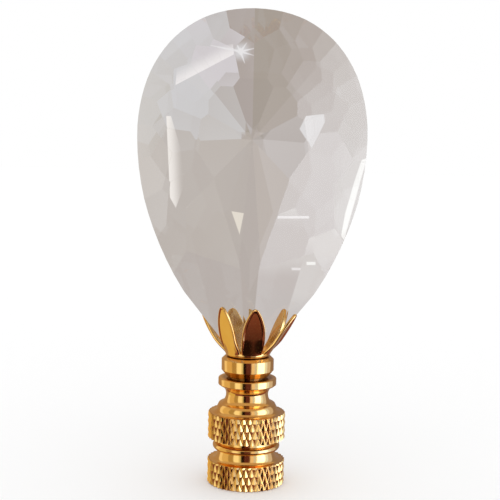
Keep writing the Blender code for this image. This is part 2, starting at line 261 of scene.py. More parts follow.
class NodeTree:
    """Builds shader nodes in one material or world."""

    def __init__(self, owner: bpy.types.Material | bpy.types.World) -> None:
        """Clears the owner's tree.

        Args:
            owner: The material or world.
        """
        owner.use_nodes = True
        self.tree = owner.node_tree
        self.tree.nodes.clear()

    def raw(self, kind: str, settings: dict, *values: object, **named: object) -> bpy.types.Node:
        """Adds one node.

        Args:
            kind: The node's type.
            settings: Properties that are set first.
            values: Inputs in order.
            named: Inputs by name.

        Returns:
            The node.
        """
        node = self.tree.nodes.new(kind)
        for key, value in settings.items():
            setattr(node, key, value)
        for key, value in [*enumerate(values), *named.items()]:
            socket = node.inputs[key]
            if isinstance(value, Wire):
                self.tree.links.new(value.socket, socket)
            else:
                socket.default_value = value
        return node

    def node(self, kind: str, settings: dict, *values: object, out: int | str = 0, **named: object) -> Wire:
        """Adds one node and gives one of its outputs as a Wire."""
        return Wire(self, self.raw(kind, settings, *values, **named).outputs[out])

    def mix(self, factor: "Wire | float", first: object, second: object) -> Wire:
        """Mixes two colours.

        Args:
            factor: The second colour's share.
            first: The colour at factor 0, as a Wire or plain numbers.
            second: The colour at factor 1.

        Returns:
            The mixed colour.
        """
        node = self.raw("ShaderNodeMix", {"data_type": "RGBA"})
        for index, value in ((0, factor), (6, first), (7, second)):
            if isinstance(value, Wire):
                self.tree.links.new(value.socket, node.inputs[index])
            elif index == 0:
                node.inputs[index].default_value = value
            else:
                node.inputs[index].default_value = (*value, 1.0)
        return Wire(self, node.outputs[2])

    def noise(self, vector: Wire, scale: float, detail: float) -> Wire:
        """A noise value around 0.5 at a vector."""
        return self.node("ShaderNodeTexNoise", {}, Vector=vector, Scale=scale, Detail=detail)

    def ramp(self, factor: Wire, stops: list[tuple[float, Colour]]) -> Wire:
        """A colour that runs straight between stops.

        Args:
            factor: The position along the ramp, from 0 to 1.
            stops: Pairs of position and colour, in order.

        Returns:
            The colour at the factor.
        """
        node = self.raw("ShaderNodeValToRGB", {}, factor)
        elements = node.color_ramp.elements
        while len(elements) < len(stops):
            elements.new(1.0)
        for element, (position, colour) in zip(elements, stops):
            element.position = position
            element.color = (*colour, 1.0)
        return Wire(self, node.outputs[0])

    def split(self, vector: Wire) -> tuple[Wire, Wire, Wire]:
        """The three numbers of a vector."""
        node = self.raw("ShaderNodeSeparateXYZ", {}, vector)
        return tuple(Wire(self, node.outputs[i]) for i in range(3))

    def join(self, x: "Wire | float", y: "Wire | float", z: "Wire | float") -> Wire:
        """A vector from three numbers."""
        return self.node("ShaderNodeCombineXYZ", {}, x, y, z)

    def finish(self, kind: str, shader: bpy.types.Node) -> None:
        """Links the shader to the output."""
        output = self.tree.nodes.new(kind)
        self.tree.links.new(shader.outputs[0], output.inputs["Surface"])


@dataclass(frozen=True)
class CrystalFinish:
    """Clear cut crystal: plain values on the shader."""

    tint: Colour = (0.985, 0.985, 0.98)
    index: float = 1.45

    def make(self) -> bpy.types.Material:
        """Makes the crystal's material.

        Returns:
            The material, whose values are all plain.
        """
        made = bpy.data.materials.new("clear_cut_crystal")
        nodes = NodeTree(made)
        shader = nodes.raw("ShaderNodeBsdfPrincipled", {})
        shader.inputs["Base Color"].default_value = (*self.tint, 1.0)
        shader.inputs["Roughness"].default_value = 0.0
        shader.inputs["IOR"].default_value = self.index
        shader.inputs["Transmission Weight"].default_value = 1.0
        nodes.finish("ShaderNodeOutputMaterial", shader)
        return made


@dataclass(frozen=True)
class BrassFinish:
    """Polished yellow brass with the marks of how it was made."""

    work: Work
    bright: Colour = (0.94, 0.67, 0.30)
    worn: Colour = (0.90, 0.58, 0.22)
    # The colour that the knurl darkens towards in the floors of its grooves.
    knurl_floor_colour: Colour = (0.34, 0.15, 0.05)
    # The colour of the painted shade in the seams beside the collar, the seams' heights and radii, and how
    # far the shade reaches.
    seam_painted_shade: Colour = (0.15, 0.055, 0.015)
    shaded_seams: tuple[tuple[float, float], ...] = ((17.6 * MM, 4.1 * MM), (21.1 * MM, 3.6 * MM))
    seam_shade_reach: float = 0.45 * MM
    roughness: float = 0.04
    floor_radius: float = 6.07 * MM
    crest_radius: float = 6.35 * MM
    cloud_scale: float = 260.0
    speck_scale: float = 2600.0
    ring_scale: float = 2400.0
    ring_squeeze: float = 9.0
    turned_relief: float = 0.05
    stamped_relief: float = 0.04

    def make(self) -> bpy.types.Material:
        """Makes the brass for this kind of work: clouds and specks, with turning rings on turned pieces.

        Painted shade darkens the seams beside the collar, and the knurl is darker and rougher towards the
        floors of its grooves.

        Returns:
            The material.
        """
        made = bpy.data.materials.new(f"brass_{self.work.value}")
        nodes = NodeTree(made)
        place = nodes.node("ShaderNodeTexCoord", {}, out="Object")
        x, y, z = nodes.split(place)
        radius = (x * x + y * y) ** 0.5
        cloud = nodes.noise(place, self.cloud_scale, detail=3.0)
        speck = nodes.noise(place, self.speck_scale, detail=2.0)
        colour = nodes.mix(cloud.step(0.35, 0.75), self.bright, self.worn)
        rough = self.roughness + 0.07 * cloud + 0.05 * speck
        # Painted shade: the brass is darkened at the seams beside the collar, where shade falls between the
        # parts.
        for height, within in self.shaded_seams:
            seam_shade_near = 1 - (z - height).absolute().step(0.0, self.seam_shade_reach)
            inside = 1 - radius.step(within - 0.4 * MM, within + 0.4 * MM)
            colour = nodes.mix(0.85 * seam_shade_near * inside, colour, self.seam_painted_shade)
        if self.work is Work.KNURLED:
            band_depth = (self.crest_radius - radius) / (self.crest_radius - self.floor_radius)
            outside = radius.step(self.floor_radius - 0.08 * MM, self.floor_radius)
            # Darker and rougher towards the floors of the knurl's grooves.
            knurl_floor_share = outside * band_depth.step(0.55, 1.0)
            colour = nodes.mix(0.55 * knurl_floor_share, colour, self.knurl_floor_colour)
            rough = rough + 0.12 * knurl_floor_share
        if self.work is Work.STAMPED:
            height = 0.5 * speck + 0.5 * cloud
            strength = self.stamped_relief
        else:
            section = nodes.join(radius * self.ring_squeeze, 0.0, z * self.ring_squeeze)
            rings = nodes.noise(section, self.ring_scale, detail=1.0)
            height = 0.6 * rings + 0.4 * cloud
            strength = self.turned_relief
        bump = nodes.node("ShaderNodeBump", {}, Strength=strength, Distance=0.05 * MM, Height=height)
        shader = nodes.raw(
            "ShaderNodeBsdfPrincipled", {},
            **{"Base Color": colour, "Roughness": rough, "Metallic": 1.0, "Normal": bump},
        )
        nodes.finish("ShaderNodeOutputMaterial", shader)
        return made


@dataclass
class Drop:
    """The cut crystal: the frame's facets with fine polished edges."""

    node: str = "crystal_drop"
    edge: float = 0.14 * MM
    facet_angle: float = 6.5

    def surface_points(self) -> np.ndarray:
        """Points spread along every edge of the frame's crystal, to fit the petals to.

        Returns:
            An array of points: each edge's start plus shares of its run.
        """
        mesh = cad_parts[self.node].data
        corners = np.empty(len(mesh.vertices) * 3)
        mesh.vertices.foreach_get("co", corners)
        corners = corners.reshape(-1, 3)
        ends = np.empty(len(mesh.edges) * 2, dtype=int)
        mesh.edges.foreach_get("vertices", ends)
        start, stop = corners[ends[0::2]], corners[ends[1::2]]
        share = np.linspace(0, 1, 40)[None, :, None]
        return (start[:, None] * (1 - share) + stop[:, None] * share).reshape(-1, 3)

    def build(self, finish: CrystalFinish) -> bpy.types.Object:
        """Copies the frame's crystal, merges its loose triangles into whole facets and softens their edges.

        Args:
            finish: The crystal's finish.

        Returns:
            The crystal piece.
        """
        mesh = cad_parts[self.node].data.copy()
        mesh.name = "cut_crystal"
        mesh.materials.clear()
        bm = bmesh.new()
        bm.from_mesh(mesh)
        bmesh.ops.remove_doubles(bm, verts=bm.verts, dist=0.002 * MM)
        bmesh.ops.dissolve_limit(bm, angle_limit=math.radians(0.4), verts=bm.verts, edges=bm.edges)
        bm.to_mesh(mesh)
        bm.free()
        obj = bpy.data.objects.new("cut_crystal", mesh)
        bpy.context.scene.collection.objects.link(obj)
        bevel = obj.modifiers.new("edge", "BEVEL")
        bevel.width = self.edge
        bevel.segments = 2
        bevel.limit_method = "ANGLE"
        bevel.angle_limit = math.radians(self.facet_angle)
        mesh.shade_flat()
        mesh.materials.append(finish.make())
        hand_over(obj, Slot.CRYSTAL, self.node)
        return obj


@dataclass
class PetalCup:
    """The stamped cup: a dish with six petals that lean on the crystal."""

    node: str = "petal_cup"
    sheet: float = 0.34 * MM
    radius: float = 3.7 * MM
    corner: float = 0.66 * MM
    root_rise: float = 0.36 * MM
    wall_height: float = 0.8 * MM
    seat_gap: float = 0.3 * MM
    clearance: float = 0.07 * MM
    petals: int = 6
    first_azimuth: float = 11.0
    length: float = 8.25 * MM
    min_lean: float = 14.5
    root_width: float = 3.35 * MM
    width: float = 3.8 * MM
    tip_width: float = 0.7 * MM
    tip_share: float = 0.045
    widest_at: float = 0.4
    rim_height: float = 0.16 * MM
    edge_round: float = 0.16 * MM
    rows: int = 40
    columns: int = 28
    dish_columns: int = 144

    def half_width(self, share: np.ndarray) -> np.ndarray:
        """Half a petal's width: a swelling lancet with a small round tip.

        The width climbs as a quarter sine from the root to the widest place, falls from there as 1 - t^2.2,
        and closes over the last shares of the length as a quarter circle.

        Args:
            share: Shares of the petal's length.

        Returns:
            Half the width at each share.
        """
        swell = np.sin(np.pi / 2 * np.clip(share / self.widest_at, 0, 1))
        lower = self.root_width + (self.width - self.root_width) * swell
        beyond = np.clip((share - self.widest_at) / (1 - self.widest_at), 0, 1)
        upper = self.tip_width + (self.width - self.tip_width) * (1 - beyond**2.2)
        tip = np.sqrt(1 - np.clip((share - 1 + self.tip_share) / self.tip_share, 0, 1) ** 2)
        return np.where(share < self.widest_at, lower, upper) / 2 * np.maximum(tip, 0.02)

    def lean(self, near: np.ndarray, azimuth: float, root: tuple[float, float]) -> float:
        """The smallest lean at which a straight petal clears the crystal.

        Args:
            near: Points on the crystal.
            azimuth: The petal's direction from the front, in radians.
            root: Radius and height of the petal's root.

        Returns:
            The lean from upright, in radians: the steepest line from the root past any point under the petal.
        """
        outward = near @ np.array([math.sin(azimuth), -math.cos(azimuth), 0.0])
        along = near @ np.array([math.cos(azimuth), math.sin(azimuth), 0.0])
        rise = near[:, 2] - root[1]
        under = (rise > 0.4 * MM) & (rise < self.length)
        strip = self.half_width(np.clip(rise / self.length, 0, 1)) + 0.02 * MM
        under &= np.abs(along) < strip
        run = outward[under] + self.clearance - root[0]
        return max(math.radians(self.min_lean), math.atan(float(np.max(run / rise[under], initial=0.0))))

    def petal(
        self, near: np.ndarray, azimuth: float, root: tuple[float, float]
    ) -> tuple[np.ndarray, np.ndarray]:
        """One petal's sheet as a grid closed all round.

        The grid's first parameter runs up the petal and the second goes once round its section: across the
        outer face and back across the inner one. The outer face swells into a low round rim along its edges.

        Args:
            near: Points on the crystal.
            azimuth: The petal's direction from the front, in radians.
            root: Radius and height of the petal's root.

        Returns:
            Points and faces.
        """
        lean = self.lean(near, azimuth, root)
        share = np.linspace(0, 1, self.rows)[:, None]
        across = np.sin(np.linspace(-np.pi / 2, np.pi / 2, self.columns))[None, :]
        side = across * self.half_width(share)
        from_edge = self.half_width(share) - np.abs(side)
        tip_distance = (1 - share) * self.length
        edge_distance = np.minimum(from_edge, tip_distance)
        rim = self.rim_height * (1 - smooth_step(0.12 * MM, 0.46 * MM, edge_distance))
        rim = rim * smooth_step(0.0, 0.2, share)
        to_edge = 1 - np.clip(edge_distance / self.edge_round, 0, 1)
        round_off = self.sheet / 2 * (1 - np.sqrt(1 - to_edge**2))
        inner = round_off
        outer = self.sheet + rim - round_off
        wrap = (1 - smooth_step(0.0, 0.35, share)) * (root[0] - np.sqrt(root[0] ** 2 - side**2))

        def placed(offset: np.ndarray) -> np.ndarray:
            """Points at an offset outwards from the petal's inner face, leaned and turned into place."""
            run = share * self.length * math.sin(lean) + offset * math.cos(lean) - wrap
            rise = share * self.length * math.cos(lean) - offset * math.sin(lean)
            radius = root[0] + run
            return np.stack([
                side * math.cos(azimuth) + radius * math.sin(azimuth),
                side * math.sin(azimuth) - radius * math.cos(azimuth),
                root[1] + rise + 0 * side,
            ], axis=-1)

        ring = np.concatenate([placed(outer), placed(inner)[:, ::-1]], axis=1)
        rows, columns = ring.shape[:2]
        faces = grid_faces(rows, columns, closed=True)
        ends = []
        for row in (0, rows - 1):
            first = np.arange(self.columns - 1) + row * columns
            second = row * columns + columns - 1 - np.arange(self.columns - 1)
            ends.append(np.stack([first, first + 1, second - 1, second], axis=1))
        return ring.reshape(-1, 3), np.concatenate([faces, *ends])

    def dish(self, bottom: float) -> tuple[np.ndarray, np.ndarray]:
        """The shallow dish under the petals, turned from its section.

        Args:
            bottom: The height of its underside.

        Returns:
            Points and faces.
        """
        inner, lip = self.radius - self.sheet, self.sheet / 2
        section = np.concatenate([
            [[0.0, bottom]],
            [[self.radius * 0.5, bottom]],
            arc((self.radius - self.corner, bottom + self.corner), (self.corner, self.corner), -90, 0, 10),
            [[self.radius, bottom + self.wall_height * 0.85]],
            arc((self.radius - lip, bottom + self.wall_height), (lip, lip), 0, 180, 8),
            [[inner, bottom + self.seat_gap + self.sheet + 0.2 * MM]],
            [[inner - 0.2 * MM, bottom + self.seat_gap + self.sheet]],
            [[0.0, bottom + self.seat_gap + self.sheet]],
        ])
        return turn(section, self.dish_columns)

    def build(self, near: np.ndarray, finish: BrassFinish) -> bpy.types.Object:
        """Builds the dish and its petals as one piece.

        Args:
            near: Points on the crystal.
            finish: The brass finish.

        Returns:
            The cup piece.
        """
        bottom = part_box(self.node)[0].z
        points, faces = self.dish(bottom - self.seat_gap)
        root = (self.radius - self.sheet, bottom + self.root_rise)
        for index in range(self.petals):
            azimuth = math.radians(self.first_azimuth) + FULL_TURN * index / self.petals
            more_points, more_faces = self.petal(near, azimuth, root)
            faces = np.concatenate([faces, more_faces + len(points)])
            points = np.concatenate([points, more_points])
        obj = new_object("stamped_petal_cup", points, faces)
        shade(obj, 50)
        obj.data.materials.append(finish.make())
        hand_over(obj, Slot.BRASS, self.node)
        return obj


def turn(section: np.ndarray, columns: int) -> tuple[np.ndarray, np.ndarray]:
    """A closed turned body.

    Args:
        section: (radius, height) points from the axis round to the axis.
        columns: Points round the axis.

    Returns:
        Points (r cos a, r sin a, z) over every angle a, and their faces.
    """
    angle = np.linspace(0, FULL_TURN, columns, endpoint=False)
    radius, height = section[:, 0][:, None], section[:, 1][:, None]
    points = np.stack([radius * np.cos(angle), radius * np.sin(angle), height + 0 * angle], axis=-1)
    return points.reshape(-1, 3), grid_faces(len(section), columns, closed=True)


@dataclass
class Collar:
    """The plain turned ring between the base and the cup."""

    node: str = "seat_collar"
    foot_radius: float = 3.45 * MM
    foot_height: float = 0.95 * MM
    seat_radius: float = 2.9 * MM
    chamfer: float = 0.45 * MM
    edge: float = 0.07 * MM
    seat_gap: float = 0.3 * MM
    columns: int = 160

    def build(self, finish: BrassFinish) -> bpy.types.Object:
        """Turns the ring, down to the flange that it sits on.

        Args:
            finish: The brass finish.

        Returns:
            The collar piece.
        """
        low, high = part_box(self.node)
        radius = high.x
        edge = self.edge
        band_bottom = low.z + self.foot_height
        seat = low.z - self.seat_gap - 0.02 * MM
        section = np.concatenate([
            [[0.0, high.z]],
            [[radius - self.chamfer - edge, high.z]],
            [[radius - self.chamfer, high.z - edge * 0.4]],
            [[radius - edge * 0.4, high.z - self.chamfer + edge * 0.3]],
            [[radius, high.z - self.chamfer - edge]],
            arc((radius - edge, band_bottom + edge), (edge, edge), 0, -60, 4),
            [[self.foot_radius, low.z]],
            [[self.seat_radius, low.z]],
            [[self.seat_radius, seat]],
            [[0.0, seat]],
        ])
        obj = new_object("turned_seat_collar", *turn(section, self.columns))
        shade(obj, 28)
        obj.data.materials.append(finish.make())
        hand_over(obj, Slot.BRASS, self.node)
        return obj


@dataclass
class Base:
    """The turned base with two diamond-knurled bands and a tapped hole."""

    node: str = "finial_base"
    lower_band: float = 3.95 * MM
    upper_bottom: float = 7.6 * MM
    upper_top: float = 11.8 * MM
    chamfer: float = 0.15 * MM
    groove_radius: float = 4.75 * MM
    bead_radius: float = 5.5 * MM
    bead_half_height: float = 0.64 * MM
    bead_drop: float = 1.4 * MM
    cove_width: float = 0.85 * MM
    cove_height: float = 0.8 * MM
    neck_cove_height: float = 1.5 * MM
    lip_radius: float = 4.9 * MM
    lip_top_radius: float = 4.6 * MM
    lip_height: float = 0.62 * MM
    waist_radius: float = 3.45 * MM
    waist_flare: float = 1.55 * MM
    flange_radius: float = 4.75 * MM
    flange_sweep: float = 1.42 * MM
    flange_height: float = 1.3 * MM
    flange_round: float = 0.2 * MM
    knurl_starts: int = 40
    knurl_depth: float = 0.28 * MM
    knurl_angle: float = 22.0
    knurl_flat: float = 0.9
    undercut: float = 0.05 * MM
    thread_pitch: float = 25.4 / 27 * MM
    thread_major: float = 3.175 * MM
    thread_minor: float = 2.665 * MM
    thread_flat: float = 0.12
    thread_rows: int = 8
    bore_depth: float = 8.8 * MM
    drill_point: float = 0.9 * MM
    countersink: float = 0.45 * MM
    per_start: int = 10
    radius: float = field(init=False, default=6.35 * MM)

    def knurl(self, height: np.ndarray, angle: np.ndarray) -> np.ndarray:
        """The knurled side's radius.

        Two families of straight-sided grooves cross at plus and minus the knurl angle. The lower of the two
        wins, so the surface is floor + depth * min(wave 1, wave 2), cut off at the flat of the crests.

        Args:
            height: Heights above the band's bottom.
            angle: Angles round the axis.

        Returns:
            The radius at each pair.
        """
        rise = FULL_TURN * self.radius / self.knurl_starts / math.tan(math.radians(self.knurl_angle))
        turns = angle / FULL_TURN * self.knurl_starts
        crest = np.minimum(triangle_wave(turns + height / rise), triangle_wave(turns - height / rise))
        return self.radius - self.knurl_depth + self.knurl_depth * np.minimum(crest / self.knurl_flat, 1)

    def band_heights(self, bottom: float, top: float) -> np.ndarray:
        """The heights of a band's rows: equal steps, a whole number to each knurl rise, and then the top.

        Args:
            bottom: The band's lowest height.
            top: Its highest.

        Returns:
            The heights.
        """
        rise = FULL_TURN * self.radius / self.knurl_starts / math.tan(math.radians(self.knurl_angle))
        step = rise / self.per_start
        heights = np.arange(bottom, top - 0.3 * step, step)
        return np.append(heights, top)

    def thread(self, height: np.ndarray, angle: np.ndarray) -> np.ndarray:
        """The tapped hole's radius: a helical groove of straight sides that fades out over its last turns.

        Args:
            height: Heights above the base's underside.
            angle: Angles round the axis.

        Returns:
            minor + (major - minor) * a clipped wave of height / pitch - angle / turn, at each pair.
        """
        wave = triangle_wave(height / self.thread_pitch - angle / FULL_TURN)
        cut = np.clip((wave - self.thread_flat) / (1 - 2 * self.thread_flat), 0, 1)
        fading_from = self.bore_depth - 2 * self.thread_pitch
        fade = 1 - smooth_step(fading_from, fading_from + 1.5 * self.thread_pitch, height)
        return self.thread_minor + (self.thread_major - self.thread_minor) * cut * fade

    def cove(self, neck: float, band_top: float, height: float) -> np.ndarray:
        """The section from a band's top edge inwards and up the hollow to its neck.

        Args:
            neck: The neck's radius.
            band_top: The height of the band's top.
            height: How far the hollow climbs.

        Returns:
            Rows of (radius, height).
        """
        floor_radius = self.radius - self.knurl_depth - self.undercut
        top = band_top + 0.01 * MM
        return np.concatenate([
            [[floor_radius, top]],
            [[neck + self.cove_width + 0.02 * MM, top]],
            arc((neck + self.cove_width, top + height), (self.cove_width, height), 270, 180, 14),
        ])

    def upper_section(self) -> np.ndarray:
        """The section from the upper band's top edge to the middle of the flange's top.

        Returns:
            Rows of (radius, height).
        """
        lip, edge = self.lip_radius, 0.05 * MM
        lip_top = self.upper_top + self.cove_height + self.lip_height
        waist = lip_top + self.waist_flare
        flange = waist + self.flange_sweep
        top = flange + self.flange_height
        rim, curve = self.flange_radius, self.flange_round
        hollow = self.lip_top_radius - self.waist_radius
        return np.concatenate([
            self.cove(lip, self.upper_top, self.cove_height),
            [[self.lip_top_radius + 0.5 * edge, lip_top - edge]],
            [[self.lip_top_radius - 0.5 * edge, lip_top]],
            arc((self.lip_top_radius, waist), (hollow, self.waist_flare), 264, 180, 18),
            arc((rim, waist), (rim - self.waist_radius, self.flange_sweep), 180, 104, 16)[1:],
            [[rim - 0.03 * MM, flange + curve - 0.03 * MM]],
            [[rim, flange + curve + 0.03 * MM]],
            arc((rim - curve, top - curve), (curve, curve), 0, 90, 6),
            [[0.0, top]],
        ])

    def groove_section(self) -> np.ndarray:
        """The section across the groove between the bands, with its bead.

        Returns:
            Rows of (radius, height).
        """
        floor_radius = self.radius - self.knurl_depth - self.undercut
        middle = self.upper_bottom - self.bead_drop
        groove, low = self.groove_radius, self.upper_bottom - 0.01 * MM
        return np.concatenate([
            self.cove(groove, self.lower_band, self.neck_cove_height),
            [[groove, middle - self.bead_half_height - 0.02 * MM]],
            arc((groove, middle), (self.bead_radius - groove, self.bead_half_height), -90, 90, 18),
            [[groove, middle + self.bead_half_height + 0.02 * MM]],
            [[groove, low - 0.1 * MM]],
            [[groove + 0.1 * MM, low]],
            [[floor_radius, low]],
        ])

    def build(self, finish: BrassFinish) -> bpy.types.Object:
        """Builds the whole base as one grid of radius and height over every angle.

        Args:
            finish: The brass finish.

        Returns:
            The base piece.
        """
        columns = self.knurl_starts * self.per_start
        angle = np.linspace(0, FULL_TURN, columns, endpoint=False)[None, :]
        radii, heights = [], []

        def ring(section: np.ndarray) -> None:
            """Adds round rows."""
            radii.append(section[:, :1] + 0 * angle)
            heights.append(section[:, 1:] + 0 * angle)

        def band(bottom: float, top: float) -> None:
            """Adds the rows of one knurled side."""
            rows = self.band_heights(bottom, top)[:, None]
            radii.append(self.knurl(rows - bottom, angle))
            heights.append(rows + 0 * angle)

        thread_step = self.thread_pitch / self.thread_rows
        bore_rows = np.arange(self.countersink, self.bore_depth, thread_step)[::-1][:, None]
        ring(np.array([[0.0, self.bore_depth + self.drill_point], [self.thread_minor, self.bore_depth]]))
        radii.append(self.thread(bore_rows, angle))
        heights.append(bore_rows + 0 * angle)
        ring(np.array([
            [self.thread_major + 0.1 * MM, 0.0],
            [self.radius - self.knurl_depth - self.chamfer, 0.0],
            [self.radius - self.knurl_depth - 0.04 * MM, self.chamfer - 0.02 * MM],
        ]))
        band(self.chamfer, self.lower_band)
        ring(self.groove_section())
        band(self.upper_bottom, self.upper_top)
        ring(self.upper_section())
        radius = np.concatenate(radii)
        height = np.concatenate(heights)
        points = np.stack([radius * np.cos(angle), radius * np.sin(angle), height], axis=-1)
        obj = new_object("turned_base", points.reshape(-1, 3), grid_faces(len(radius), columns, closed=True))
        shade(obj, 24)
        obj.data.materials.append(finish.make())
        hand_over(obj, Slot.BRASS, self.node)
        return obj


@dataclass(frozen=True)
class Panel:
    """A soft light panel in the studio, as a range of directions.

    Azimuth runs in degrees from the front towards the picture's right, and elevation above the horizon.
    """

    azimuth: tuple[float, float]
    elevation: tuple[float, float]
    colour: Colour
    soft: float


class Sight:
    """Lines of sight from the camera through the crystal and out into the studio."""

    most_facets = 20
    step_off = 0.001 * MM

    def __init__(self, view: Matrix, focal: float, crystal: bpy.types.Object, index: float) -> None:
        """Keeps what the lines of sight depend on.

        Args:
            view: The camera's place.
            focal: Its focal length in pixels.
            crystal: The crystal piece.
            index: The crystal's index of refraction.
        """
        mesh = crystal.data
        self.eye = view.to_translation()
        self.turned = view.to_3x3()
        self.focal = focal
        self.index = index
        corners = [vertex.co for vertex in mesh.vertices]
        self.facets = BVHTree.FromPolygons(corners, [tuple(face.vertices) for face in mesh.polygons])

    def bend(self, way: Vector, normal: Vector, ratio: float) -> Vector | None:
        """Bends a direction at a facet by Snell's law.

        Args:
            way: The direction that comes in.
            normal: The facet's normal, against that direction.
            ratio: The index before the facet over the index behind it.

        Returns:
            r d + (r c - sqrt(1 - r^2 (1 - c^2))) n, with c = -d n, or None where the facet reflects it all.
        """
        against = -way.dot(normal)
        left = 1 - ratio**2 * (1 - against**2)
        return None if left < 0 else ratio * way + (ratio * against - math.sqrt(left)) * normal

    def follow(self, x: float, y: float) -> tuple[tuple[int, ...], float, float] | None:
        """Follows the line of sight of one spot in the picture, from facet to facet.

        Args:
            x: The spot's column in pixels.
            y: The spot's row in pixels.

        Returns:
            The facets that it meets, and the azimuth and elevation in which it leaves, or None if it misses.
        """
        middle = PICTURE_SIZE / 2
        way = (self.turned @ Vector((x - middle, middle - y, -self.focal))).normalized()
        start, ratio, met = self.eye, 1 / self.index, ()
        while len(met) < self.most_facets:
            hit, normal, facet, _ = self.facets.ray_cast(start, way)
            if hit is None:
                return None
            met += (facet,)
            normal = -normal if normal.dot(way) > 0 else normal
            bent = self.bend(way, normal, ratio)
            way = way - 2 * way.dot(normal) * normal if bent is None else bent
            if bent is not None and len(met) > 1:
                return met, math.degrees(math.atan2(-way.x, way.y)) + 180, math.degrees(math.asin(way.z))
            start, ratio = hit + way * self.step_off, self.index
        return None


@dataclass(frozen=True)
class Glint:
    """A small bright shape in the crystal, drawn as a convex outline in the picture's pixels.

    The light can fade inwards from the first edge, which runs from the first corner to the second.
    """

    colour: Colour
    corners: Outline
    fade: float = 0.0
    soft: float = 0.45
    spacing: float = 0.5
    least_area: float = 12.0

    def edges(self) -> np.ndarray:
        """The outline's edges.

        Returns:
            Rows of (a, b, c), where a * x + b * y + c is the distance inside an edge in pixels.
        """
        corners = np.array(self.corners)
        along = np.roll(corners, -1, axis=0) - corners
        along /= np.linalg.norm(along, axis=1)[:, None]
        inward = np.stack([-along[:, 1], along[:, 0]], axis=1)
        inward *= np.sign(inward[0] @ (corners.mean(axis=0) - corners[0]))
        return np.column_stack([inward, -np.sum(inward * corners, axis=1)])

    def ways(self, sight: Sight) -> list[np.ndarray]:
        """Follows a fine grid of spots inside the outline and sorts them by the facets that they meet.

        Args:
            sight: The lines of sight.

        Returns:
            Rows of (x, y, azimuth, elevation) for each way through the crystal that enough spots share.
        """
        low, high = np.min(self.corners, axis=0), np.max(self.corners, axis=0)
        x, y = np.meshgrid(*(np.arange(first, last, self.spacing) for first, last in zip(low, high)))
        spots = np.stack([x.ravel(), y.ravel(), np.ones(x.size)], axis=1)
        found = {}
        for spot in spots[np.all(spots @ self.edges().T > 0, axis=1), :2].tolist():
            seen = sight.follow(*spot)
            if seen:
                found.setdefault(seen[0], []).append((*spot, *seen[1:]))
        least = self.least_area / self.spacing**2
        return [np.array(rows) for rows in found.values() if len(rows) >= least]

    def panes(self, sight: Sight) -> list[np.ndarray]:
        """The outline as it stands in the studio, once for each way through the crystal.

        Along one way the direction changes evenly over the picture: (azimuth, elevation, 1) = M (x, y, 1).
        So an edge (a, b, c) in pixels is (a, b, c) M^-1 in degrees. Each pane ends square, past its spots.

        Args:
            sight: The lines of sight.

        Returns:
            The edges of each pane, the one that the light fades from first.
        """
        edges = self.edges()
        corners = np.array([(*corner, 1) for corner in self.corners])
        panes = []
        for rows in self.ways(sight):
            spots = np.column_stack([rows[:, :2], np.ones(len(rows))])
            fit = np.linalg.lstsq(spots, rows[:, 2:], rcond=None)[0]
            to_studio = np.vstack([fit.T, (0, 0, 1)])
            (left, top), (right, bottom) = rows[:, :2].min(axis=0) - 1, rows[:, :2].max(axis=0) + 1
            box = np.array([(x, y, 1) for x in (left, right) for y in (top, bottom)])
            sides = np.array([(1, 0, -left), (-1, 0, right), (0, 1, -top), (0, -1, bottom)])
            cutting = [edge for edge in edges[1:] if np.min(box @ edge) < 0]
            cutting += [side for side in sides if np.min(corners @ side) < 0]
            panes.append(np.array([edges[0], *cutting]) @ np.linalg.inv(to_studio))
        return panes

    def lay(self, nodes: NodeTree, place: Wire, under: Wire, sight: Sight) -> Wire:
        """Lays the glint over a colour.

        Args:
            nodes: The world's nodes.
            place: A vector of azimuth, elevation and 1.
            under: The colour below.
            sight: The lines of sight.

        Returns:
            The colour with the glint in it.
        """
        for pane in self.panes(sight):
            first, *others = pane.tolist()
            from_first = place.dot(tuple(first))
            inside = from_first
            for edge in others:
                inside = inside.least(place.dot(tuple(edge)))
            share = inside.step(-self.soft, self.soft)
            if self.fade:
                share = share * (1 - from_first.step(0.0, self.fade))
            under = nodes.mix(share, under, self.colour)
        return under


def star(colour: Colour, core: float, ray_width: float) -> list[Glint]:
    """The star: a small bright square with thin rays that run out to its tips.

    Args:
        colour: The star's colour.
        core: Half the square's diagonal in pixels.
        ray_width: A ray's width at the star's centre in pixels.

    Returns:
        The star's glints.
    """
    x, y = STAR_CENTRE
    square = ((x - core, y), (x, y - core), (x + core, y), (x, y + core))
    glints = [Glint(colour, square, soft=0.8, least_area=3.0)]
    for tip in STAR_TIPS:
        way = Vector((tip[0] - x, tip[1] - y)).normalized() * ray_width / 2
        root = ((x - way.y, y + way.x), (x + way.y, y - way.x))
        glints.append(Glint(colour, (*root, tip), soft=0.8, least_area=3.0))
    return glints


